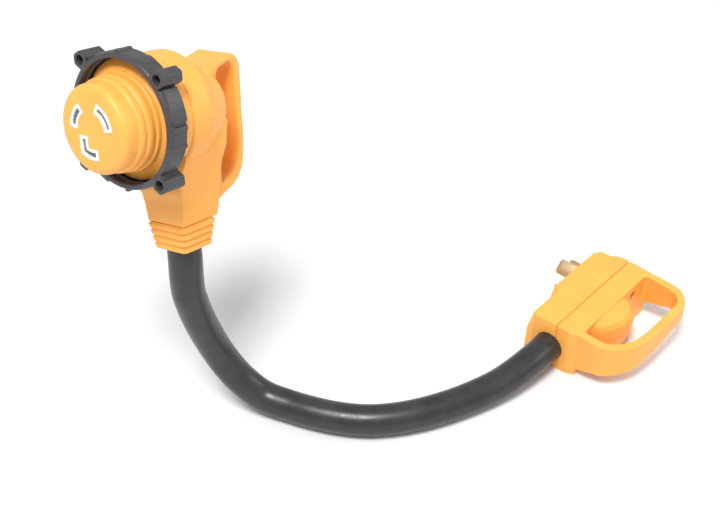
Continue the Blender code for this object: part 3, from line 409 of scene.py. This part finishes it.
SLOT_LOOKS = {"yellow_plastic": YELLOW, "black_plastic": BLACK, "cord_rubber": RUBBER, "white_plastic": WHITE,
              "carrier_plastic": CARRIER, "brass": BRASS, "steel": STEEL, "hot_sleeve": CARRIER,
              "neutral_sleeve": WHITE, "ground_sleeve": GREEN}


def dress_nodes():
    """Every CAD node takes its slot's look, also the ones that a finer piece replaces."""
    slots = {entry["node"]: entry["material_slot"] for entry in frame["record"]["subparts"]}
    for name, obj in frame["nodes"].items():
        look = SLOT_LOOKS[slots[name]]
        obj.data.materials.clear()
        obj.data.materials.append(look)


dress_nodes()


# ---------------------------------------------------------------- shape helpers

def add(obj):
    bpy.context.scene.collection.objects.link(obj)
    return obj


def from_bmesh(name, form):
    mesh = bpy.data.meshes.new(name)
    form.to_mesh(mesh)
    form.free()
    return add(bpy.data.objects.new(name, mesh))


def face_out(form):
    bmesh.ops.recalc_face_normals(form, faces=form.faces)
    if form.calc_volume(signed=True) < 0.0:
        bmesh.ops.reverse_faces(form, faces=form.faces)


def applied(obj):
    """The object with its modifiers, or its curve, turned into a plain mesh."""
    bpy.context.view_layer.update()
    evaluated = obj.evaluated_get(bpy.context.evaluated_depsgraph_get())
    mesh = bpy.data.meshes.new_from_object(evaluated)
    name, matrix = obj.name, obj.matrix_world.copy()
    bpy.data.objects.remove(obj, do_unlink=True)
    form = bmesh.new()
    form.from_mesh(mesh)
    bmesh.ops.remove_doubles(form, verts=form.verts, dist=WELD)
    face_out(form)
    form.to_mesh(mesh)
    form.free()
    mesh.name = name
    made = add(bpy.data.objects.new(name, mesh))
    made.matrix_world = matrix
    return made


def box(name, size):
    form = bmesh.new()
    bmesh.ops.create_cube(form, size=1.0)
    bmesh.ops.scale(form, vec=[value * MM for value in size], verts=form.verts)
    return from_bmesh(name, form)


def rod(name, radius, low, high, sides=ROD_SIDES, top=None):
    form = bmesh.new()
    bmesh.ops.create_cone(form, cap_ends=True, segments=sides, radius1=radius * MM,
                          radius2=(radius if top is None else top) * MM, depth=(high - low) * MM)
    bmesh.ops.translate(form, vec=(0.0, 0.0, (low + high) / 2 * MM), verts=form.verts)
    return from_bmesh(name, form)


def turned(name, profile, sides):
    """A profile of (radius, height) turned about local z."""
    form = bmesh.new()
    points = [form.verts.new((radius * MM, 0.0, height * MM)) for radius, height in profile]
    closed = profile[0][0] > 0.0 and profile[-1][0] > 0.0
    for first, second in zip(points, points[1:] + (points[:1] if closed else [])):
        form.edges.new((first, second))
    made = from_bmesh(name, form)
    screw = made.modifiers.new("turn", "SCREW")
    screw.steps = sides
    screw.render_steps = sides
    screw.use_merge_vertices = True
    screw.merge_threshold = POLE_WELD
    return applied(made)


def plate(name, outlines, low, high):
    """A flat plate between two heights. An outline inside another one is a hole."""
    curve = bpy.data.curves.new(name, "CURVE")
    curve.dimensions = "2D"
    curve.fill_mode = "BOTH"
    curve.extrude = (high - low) / 2 * MM
    for outline in outlines:
        spline = curve.splines.new("POLY")
        spline.points.add(len(outline) - 1)
        for point, (x, y) in zip(spline.points, outline):
            point.co = (x * MM, y * MM, 0.0, 1.0)
        spline.use_cyclic_u = True
    made = applied(add(bpy.data.objects.new(name, curve)))
    return moved(made, Matrix.Translation((0.0, 0.0, (low + high) / 2 * MM)))


def loft(name, sections):
    """A skin over closed sections of equally many points, capped at both ends."""
    form = bmesh.new()
    rings = [[form.verts.new([value * MM for value in point]) for point in section] for section in sections]
    for lower, upper in zip(rings, rings[1:]):
        for index in range(len(lower)):
            after = (index + 1) % len(lower)
            form.faces.new((lower[index], lower[after], upper[after], upper[index]))
    form.faces.new(list(reversed(rings[0])))
    form.faces.new(rings[-1])
    face_out(form)
    return from_bmesh(name, form)


def bevel(obj, width, segments):
    made = obj.modifiers.new("bevel", "BEVEL")
    made.width = width * MM
    made.segments = segments
    made.limit_method = "ANGLE"
    made.angle_limit = BEVEL_ANGLE
    return applied(obj)


def combine(obj, others, operation):
    """Joins the others to obj, cuts them from it or keeps what they share with it, and removes them."""
    for other in others:
        made = obj.modifiers.new(other.name, "BOOLEAN")
        made.operation = operation
        made.solver = "EXACT"
        made.object = other
    obj = applied(obj)
    for other in others:
        bpy.data.objects.remove(other, do_unlink=True)
    return obj


def softened(obj, voxel, rounds):
    """One skin over obj with its edges and joins rounded, as in a moulding."""
    remesh = obj.modifiers.new("skin", "REMESH")
    remesh.mode = "VOXEL"
    remesh.voxel_size = voxel * MM
    remesh.use_smooth_shade = True
    ease = obj.modifiers.new("ease", "SMOOTH")
    ease.factor = EASE
    ease.iterations = rounds
    return applied(obj)


def fused(name, pieces, voxel, rounds):
    """One skin over pieces that overlap; the pieces are removed."""
    form = bmesh.new()
    for piece in pieces:
        form.from_mesh(piece.data)
        bpy.data.objects.remove(piece, do_unlink=True)
    return softened(from_bmesh(name, form), voxel, rounds)


def moved(obj, matrix):
    obj.data.transform(matrix)
    return obj


def finish_piece(obj, look, body, nodes=(), angle=SMOOTH_ANGLE):
    obj.data.shade_smooth()
    obj.data.set_sharp_from_angle(angle=math.radians(angle))
    obj.data.materials.clear()
    obj.data.materials.append(look)
    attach(obj, body)
    if nodes:
        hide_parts(*nodes)


def arc(centre, radius, start, end, steps):
    turns = [math.radians(start + (end - start) * step / steps) for step in range(steps + 1)]
    return [(centre[0] + radius * math.cos(turn), centre[1] + radius * math.sin(turn)) for turn in turns]


def rounded(corners, steps=6):
    """An outline from corners of (x, y, rounding)."""
    outline = []
    points = [Vector(corner[:2]) for corner in corners]
    for index, here in enumerate(points):
        radius = corners[index][2]
        if radius <= 0.0:
            outline.append(tuple(here))
            continue
        before = (points[index - 1] - here).normalized() * radius
        after = (points[(index + 1) % len(points)] - here).normalized() * radius
        for step in range(steps + 1):
            share = step / steps
            outline.append(tuple(here + before * (1 - share) ** 2 + after * share ** 2))
    return outline


def at(x, y, z):
    return Matrix.Translation((x * MM, y * MM, z * MM))


# ---------------------------------------------------------------- cord

def curved(points, per_span):
    """Points on a smooth curve through the given ones (centripetal Catmull-Rom)."""
    path = [np.array(point, dtype=float) for point in points]
    path = [2 * path[0] - path[1]] + path + [2 * path[-1] - path[-2]]
    made = []
    for four in zip(path, path[1:], path[2:], path[3:]):
        knots = [0.0]
        for near, far in zip(four, four[1:]):
            knots.append(knots[-1] + max(np.linalg.norm(far - near), SHORTEST_SPAN) ** 0.5)
        for step in range(per_span):
            made.append(catmull(four, knots, knots[1] + (knots[2] - knots[1]) * step / per_span))
    made.append(path[-2])
    return made


def catmull(points, knots, at_knot):
    level = list(points)
    for width in (1, 2, 3):
        level = [mix(level[index], level[index + 1], knots, index, width, at_knot)
                 for index in range(len(level) - 1)]
    return level[0]


def mix(near, far, knots, index, width, at_knot):
    low, high = (knots[1], knots[2]) if width == 3 else (knots[index], knots[index + width])
    share = (at_knot - low) / (high - low)
    return near * (1 - share) + far * share


def cord_path():
    turn = Euler([math.radians(value) for value in HEAD_TURN]).to_matrix()
    start = [HEAD_PLACE + turn @ Vector((NECK_CENTRE, 0.0, height))
             for height in (CORD_TOP, RELIEF_FOOT - CORD_STRAIGHT)]
    entry = PLUG_PLACE + Vector(CORD_ENTRY)
    end = [entry, entry + Vector((CORD_IN_PLUG, 0.0, 0.0))]
    points = start + [Vector(point) for point in CORD_ROUTE] + end
    return [(Vector(point) + ORIGIN_SHIFT) * MM for point in curved(points, CORD_STEPS)]


def make_cord():
    path = cord_path()
    curve = bpy.data.curves.new("power_cord", "CURVE")
    curve.dimensions = "3D"
    curve.bevel_depth = CORD_RADIUS * MM
    curve.bevel_resolution = 10
    curve.use_fill_caps = True
    spline = curve.splines.new("POLY")
    spline.points.add(len(path) - 1)
    for point, place in zip(spline.points, path):
        point.co = (*place, 1.0)
    spline.use_smooth = True
    cord = add(bpy.data.objects.new("power_cord", curve))
    curve.materials.append(RUBBER)
    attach(cord, "adapter")
    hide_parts("cord_jacket")


make_cord()


# ---------------------------------------------------------------- head: barrel and slots

def face_point(radius, angle):
    """A point round the head's axis: 0 degrees is on its -y side, and 90 degrees is at the top."""
    turn = math.radians(angle)
    return (-radius * math.sin(turn), -radius * math.cos(turn))


def slot_line(pole):
    """The middle line of a slot: an arc, and on the ground slot a leg straight up from its far end."""
    start, end = SLOT_ARCS[pole]
    steps = SLOT_STEPS[pole]
    line = [face_point(SLOT_CIRCLE, start + (end - start) * step / steps) for step in range(steps + 1)]
    if pole == "ground":
        x, y = line[0]
        line = [(x - GROUND_LEG, y)] + line
    return [Vector(point) for point in line]


def slot_outline(pole, grow):
    """A band along the slot's middle line, grown all round."""
    line = slot_line(pole)
    half = SLOT_HALF + grow
    line[0] = line[0] + (line[0] - line[1]).normalized() * grow
    line[-1] = line[-1] + (line[-1] - line[-2]).normalized() * grow
    sides = ([], [])
    for index, point in enumerate(line):
        before = (point - line[max(index - 1, 0)]).normalized()
        after = (line[min(index + 1, len(line) - 1)] - point).normalized()
        along = (before + after).normalized()
        square = max(abs(along.dot(after if index == 0 else before)), MITRE_LIMIT)
        out = Vector((-along.y, along.x)) * half / square
        sides[0].append(tuple(point + out))
        sides[1].append(tuple(point - out))
    return sides[0] + sides[1][::-1]


def barrel_profile():
    profile = [(0.0, BARREL_FRONT)]
    profile += [(BARREL_RADIUS + beyond, BARREL_FRONT + behind) for beyond, behind in FACE_EDGE]
    profile += [(BARREL_RADIUS + beyond, place) for beyond, place in RIDGES]
    profile += FLANGE
    profile += [(FLANGE[-1][0], COLLAR_FRONT), (COLLAR_RADIUS, COLLAR_FRONT), (COLLAR_RADIUS, COLLAR_BACK)]
    profile += [(BARREL_BORE, COLLAR_BACK), (BARREL_BORE, FACE_BACK), (0.0, FACE_BACK)]
    return profile


def make_barrel():
    made = turned("barrel", barrel_profile(), FINE_SIDES)
    front, back = BARREL_FRONT - CUT_PAST, FACE_BACK + CUT_PAST
    cuts = [plate(pole + "_cut", [slot_outline(pole, LINER_WALL)], front, back) for pole in SLOT_ARCS]
    made = combine(made, cuts, "DIFFERENCE")
    finish_piece(moved(made, HEAD @ ALONG), YELLOW, "adapter", ["connector_barrel"],
                 angle=30.0)


def make_liners():
    for pole in SLOT_ARCS:
        outlines = [slot_outline(pole, LINER_WALL - LINER_GAP), slot_outline(pole, 0.0)]
        made = bevel(plate(pole + "_liner", outlines, BARREL_FRONT - LINER_PROUD, FACE_BACK), LINER_EDGE, 2)
        finish_piece(moved(made, HEAD @ ALONG), WHITE, "adapter", [pole + "_slot_liner"])


def make_slot_shades():
    """Painted shade: a dark grey plate in each slot, a little below the face, stands in for the shade inside
    the slot.
    """
    for pole in SLOT_ARCS:
        outline = slot_outline(pole, -SHADE_GAP)
        made = plate(pole + "_slot_shade", [outline], BARREL_FRONT + SHADE_SUNK, FACE_BACK)
        finish_piece(moved(made, HEAD @ ALONG), SLOT_SHADE_LOOK, "adapter")


# ---------------------------------------------------------------- head: lock ring

def ring_profile():
    """The rim's section: outside from the lip to the tail, then back along the bore with its two ribs."""
    lip, body, back, depth = RING_LIP, RING_BODY, RING_BACK, RING_DEPTH
    outside = [(lip - 0.4, 0.0), (lip - 0.1, 0.15), (lip, 0.5), (lip, 1.2), (body - 0.25, 1.6), (body, 2.0),
               (body, back - 0.5), (body - 0.15, back - 0.15), (body - 0.5, back), (29.4, back + 0.1),
               (29.4, depth - 0.3), (29.1, depth)]
    inside = [(25.6, depth), (25.3, depth - 0.3), (25.3, depth - 2.5), (RING_ROOT, depth - 2.5),
              (RING_ROOT, 7.2), (RING_BORE, 6.6), (RING_BORE, 5.4), (RING_ROOT, 4.6), (RING_ROOT, 3.2),
              (RING_BORE, 2.4), (RING_BORE, 0.4), (RING_BORE + 0.4, 0.0)]
    return outside + inside


def block_outline(inner, outer, start, end, steps=10):
    turns = [start + (end - start) * step / steps for step in range(steps + 1)]
    return [face_point(outer, turn) for turn in turns] + [face_point(inner, turn) for turn in reversed(turns)]


def ring_blocks():
    """The grip blocks and thin ribs, the same on both halves of the rim."""
    blocks = []
    for half in (0.0, 180.0):
        for start, end, low, high, radius in RAISED:
            outline = block_outline(RING_BODY - BLOCK_SUNK, radius, start + half, end + half)
            blocks.append(plate("block", [outline], low, high))
    return blocks


def lug_outline(radius, flutes=6, depth=0.22, steps=60):
    """A round lug with shallow flutes down its length."""
    turns = [math.tau * step / steps for step in range(steps)]
    return [((radius - depth + depth * math.cos(flutes * turn)) * math.cos(turn),
             (radius - depth + depth * math.cos(flutes * turn)) * math.sin(turn)) for turn in turns]


def ring_lug(angle):
    lug = bevel(plate("lug", [lug_outline(LUG_RADIUS)], -LUG_PAST, RING_DEPTH + LUG_PAST), LUG_EDGE, 2)
    socket = rod("socket", SOCKET_MOUTH, -SOCKET_PAST, SOCKET_DEPTH, SMALL_SIDES, SOCKET_END)
    return moved(combine(lug, [socket], "DIFFERENCE"), at(*face_point(LUG_CIRCLE, angle), 0.0))


def make_ring():
    """The threaded ring: its rim with grip blocks and thin ribs, and four fluted lugs with sockets."""
    solids = [turned("rim", ring_profile(), FINE_SIDES)] + ring_blocks()
    solids += [ring_lug(angle) for angle in LUG_ANGLES]
    made = fused("lock_ring_detail", solids, RING_VOXEL, RING_ROUNDS)
    finish_piece(moved(made, HEAD @ ALONG), BLACK, "ring", ["lock_ring"],
                 angle=32.0)


# ---------------------------------------------------------------- head: housing

def body_drum():
    radius = DRUM_RADIUS
    profile = [(0.0, DRUM_FRONT), (radius - 2.6, DRUM_FRONT), (radius - 1.2, DRUM_FRONT + 0.35),
               (radius - 0.35, DRUM_FRONT + 1.2), (radius, DRUM_FRONT + 2.6), (radius, DRUM_SEAM - 1.0),
               (radius - 0.6, DRUM_SEAM + 1.2), (0.0, DRUM_SEAM + 1.2)]
    return moved(turned("head_body", profile, FINE_SIDES), ALONG)


def dome_section(x, half, top, low, steps=48):
    """The rear body seen along the head's axis: an upper half of its own height on a rounder lower half."""
    turns = [math.tau * step / steps for step in range(steps)]
    return [(x, half * math.cos(turn), (top if math.sin(turn) > 0.0 else low) * math.sin(turn))
            for turn in turns]


def neck_trim():
    sections = [[(front, -half, height), (back, -half, height), (back, half, height), (front, half, height)]
                for height, front, back, half in NECK_TRIM]
    return loft("trim", sections)


def body_neck():
    far = [(-y, z) for y, z in reversed(NECK_SIDE)]
    outline = [(-z, y) for y, z in list(NECK_SIDE) + far]
    neck = moved(plate("neck", [outline], DRUM_FRONT, DRUM_BACK + 0.8), ALONG)
    return bevel(combine(neck, [neck_trim()], "INTERSECT"), NECK_EDGE, 4)


def root_section(x, half, low, high):
    """The strap's root seen along the head's axis, with its two upper corners rounder."""
    corners = [(-half, low), (half, low), (half, high), (-half, high)]
    rounding = [(*corner, radius) for corner, radius in zip(corners, ROOT_ROUNDING)]
    return [(x, y, z) for y, z in rounded(rounding, 5)]


def body_strap():
    strap = plate("strap", [rounded(STRAP)], -GRIP_HALF, GRIP_HALF)
    return moved(bevel(strap, STRAP_EDGE, 3), ACROSS)


def make_body():
    """The drum, the neck and the D-handle as one moulded form."""
    made = body_drum()
    dome = loft("dome", [dome_section(*section) for section in DOME])
    root = loft("root", [root_section(*section) for section in STRAP_ROOT])
    for other in (dome, body_neck(), root, body_strap()):
        made = combine(made, [other], "UNION")
    opening = moved(plate("opening", [rounded(GRIP_OPENING)], -OPENING_HALF, OPENING_HALF), ACROSS)
    made = softened(combine(made, [opening], "DIFFERENCE"), BODY_VOXEL, BODY_ROUNDS)
    recesses = [moved(rod("recess", HEAD_RECESS, seat, seat + HEAD_RECESS_DEPTH, SMALL_SIDES),
                      at(0.0, side, up) @ ALONG) for seat, side, up in HEAD_SCREWS]
    made = combine(made, recesses, "DIFFERENCE")
    finish_piece(moved(made, HEAD), YELLOW, "adapter", ["head_front_shell", "head_handle_shell"],
                 angle=60.0)


def relief_section(scale, height):
    deep, half = NECK_DEEP * scale, NECK_HALF * scale
    corners = [(-deep, -half), (deep, -half), (deep, half), (-deep, half)]
    flat = rounded([(*corner, RELIEF_ROUNDING) for corner in corners])
    return [(NECK_CENTRE + x, y, height) for x, y in flat]


def make_relief():
    """Four rounded bands with grooves between them, tapering down to the cord."""
    sections = []
    for band in range(RELIEF_BANDS):
        high = RELIEF_TOP - band * BAND_TALL
        wide = BAND_WIDE - BAND_TAPER * band
        sections += [relief_section(wide - shrink, high - drop) for drop, shrink in BAND_SKIN]
    sections += [relief_section(scale, RELIEF_FOOT + height) for scale, height in RELIEF_TAIL]
    made = loft("strain_relief", sections[::-1])
    bore = rod("bore", CORD_RADIUS + RELIEF_GAP, RELIEF_FOOT - RELIEF_PAST, NECK_FOOT + RELIEF_PAST)
    made = combine(made, [moved(bore, at(NECK_CENTRE, 0.0, 0.0))], "DIFFERENCE")
    finish_piece(moved(made, HEAD), YELLOW, "adapter", ["head_strain_relief"],
                 angle=50.0)


# ---------------------------------------------------------------- plug

def plug_bore():
    return moved(rod("bore", CORD_RADIUS + ENTRY_GAP, *ENTRY_BORE), at(*CORD_ENTRY) @ ALONG)


def prong_place(pole):
    """Where a blade or the pin stands, with local z along it."""
    x, z, lean = BLADES[pole]
    if pole == "ground":
        return at(x, 0.0, z) @ ACROSS
    return at(x, 0.0, z) @ Euler((QUARTER, math.radians(lean), 0.0)).to_matrix().to_4x4()


def prong_cut(pole):
    if pole == "ground":
        made = rod("pin_cut", PIN_RADIUS + PIN_GAP, *PIN_CUT, SMALL_SIDES)
    else:
        made = box("blade_cut", (BLADE_WIDE + BLADE_GAP, BLADE_THICK + BLADE_GAP, BLADE_CUT))
    return moved(made, prong_place(pole))


def make_plug_front():
    made = bevel(plate("plug_front", [rounded(PLUG_FRONT)], 0.0, PLUG_TALL), PLUG_EDGE, 3)
    outline = list(FACE_PLATE) + arc(PLATE_ROUND_AT, PLATE_ROUND, *PLATE_ROUND_TURN, 10)
    face = bevel(plate("face_plate", [outline], 0.0, PLATE_THICK + PLATE_ROOT), PLATE_EDGE, 3)
    made = combine(made, [moved(face, at(0.0, PLATE_THICK, 0.0) @ ACROSS)], "UNION")
    made = combine(made, [plug_bore()] + [prong_cut(pole) for pole in BLADES], "DIFFERENCE")
    finish_piece(moved(made, PLUG), YELLOW, "adapter", ["plug_front_shell"],
                 angle=34.0)


def handle_wedge():
    """What is cut from under the handle: it lifts towards the grip and more towards the plug's far end."""
    sections = []
    for x in PLUG_PAST:
        near, far = [height + rise * x for height, rise in (LIFT_NEAR, LIFT_FAR)]
        sections.append([(x, LIFT_START, -1.0), (x, LIFT_START, near), (x, GRIP_FAR, far),
                         (x, GRIP_FAR, -1.0)])
    return loft("lift", sections)


def boss_section(height, out, right, steps=32):
    """Half a flattened round, fuller towards the plug's far end."""
    points = []
    for step in range(steps + 1):
        turn = math.pi * step / steps
        share = ((1.0 - math.cos(turn)) / 2) ** BOSS_FULL_ALONG
        depth = (out - BOSS_BASE) * math.sin(turn) ** BOSS_FULL_OUT
        points.append((BOSS_START + (right - BOSS_START) * share, -BOSS_BASE - depth, height))
    return points


def make_plug_rear():
    made = plate("plug_rear", [rounded(PLUG_GRIP)], 0.0, PLUG_TALL)
    fall = moved(plate("fall", [GRIP_FALL], *PLUG_PAST), UP_TO_ALONG)
    opening = plate("opening", [rounded(PLUG_OPENING)], *PLUG_OPENING_CUT)
    made = combine(made, [handle_wedge(), fall, opening], "DIFFERENCE")
    boss = loft("boss", [boss_section(*section) for section in BOSS])
    made = softened(combine(made, [boss], "UNION"), PLUG_VOXEL, PLUG_ROUNDS)
    recesses = [moved(rod("recess", PLUG_RECESS, -SCREW_SUNK, PLUG_RECESS_PAST, SMALL_SIDES),
                      at(x, PLUG_REAR, z) @ ACROSS) for x, z in PLUG_SCREWS]
    made = combine(made, [plug_bore()] + recesses, "DIFFERENCE")
    finish_piece(moved(made, PLUG), YELLOW, "adapter", ["plug_handle_shell"],
                 angle=60.0)


def make_pin():
    nose = [(PIN_RADIUS * math.cos(turn), -BLADE_TIP - PIN_NOSE * math.sin(turn)) for turn in PIN_NOSE_TURNS]
    profile = [(0.0, -BLADE_ROOT), (PIN_RADIUS, -BLADE_ROOT), (PIN_RADIUS, -BLADE_TIP)]
    profile += nose + [(0.0, -BLADE_TIP - PIN_NOSE)]
    made = moved(turned("ground_prong", profile, ROD_SIDES), prong_place("ground"))
    finish_piece(moved(made, PLUG), BRASS, "adapter", ["ground_pin"])


def make_blade(pole):
    half, low, high = BLADE_WIDE / 2, -BLADE_TIP, -BLADE_ROOT
    corners = [(-half, high, 0.0), (-half, low, BLADE_ROUNDING), (half, low, BLADE_ROUNDING),
               (half, high, 0.0)]
    made = plate(pole + "_prong", [rounded(corners)], -BLADE_THICK / 2, BLADE_THICK / 2)
    made = moved(bevel(made, BLADE_EDGE, 2), ACROSS)
    finish_piece(moved(made, PLUG @ prong_place(pole)), BRASS, "adapter", [pole + "_blade"])


# ---------------------------------------------------------------- floor and light

def make_floor():
    form = bmesh.new()
    bmesh.ops.create_grid(form, x_segments=1, y_segments=1, size=FLOOR_HALF)
    floor = from_bmesh("floor", form)
    made, shader, tree = shader_of("floor_look")
    tone = ramp(tree, noise(tree, FLOOR_SCALE).outputs["Fac"], (0.3, FLOOR_DARK), (0.7, FLOOR_LIGHT))
    tree.links.new(tone.outputs["Color"], shader.inputs["Base Color"])
    shader.inputs["Roughness"].default_value = FLOOR_ROUGH
    floor.data.materials.append(made)


def area_light(name, place, size, power):
    light = bpy.data.lights.new(name, "AREA")
    light.shape = "RECTANGLE"
    light.size = size[0]
    light.size_y = size[1]
    light.energy = power
    obj = add(bpy.data.objects.new(name, light))
    obj.location = place
    obj.rotation_euler = (Vector(LIGHT_TARGET) - Vector(place)).to_track_quat("-Z", "Y").to_euler()


def make_light():
    world = bpy.data.worlds.new("studio")
    world.use_nodes = True
    background = world.node_tree.nodes["Background"]
    background.inputs["Color"].default_value = (1.0, 1.0, 1.0, 1.0)
    background.inputs["Strength"].default_value = WORLD_POWER
    bpy.context.scene.world = world
    for light in LIGHTS:
        area_light(*light)
    bpy.context.scene.view_settings.view_transform = "Standard"


make_barrel()
make_liners()
make_slot_shades()
make_ring()
make_body()
make_relief()
make_plug_front()
make_plug_rear()
make_blade("hot")
make_blade("neutral")
make_pin()
make_floor()
make_light()
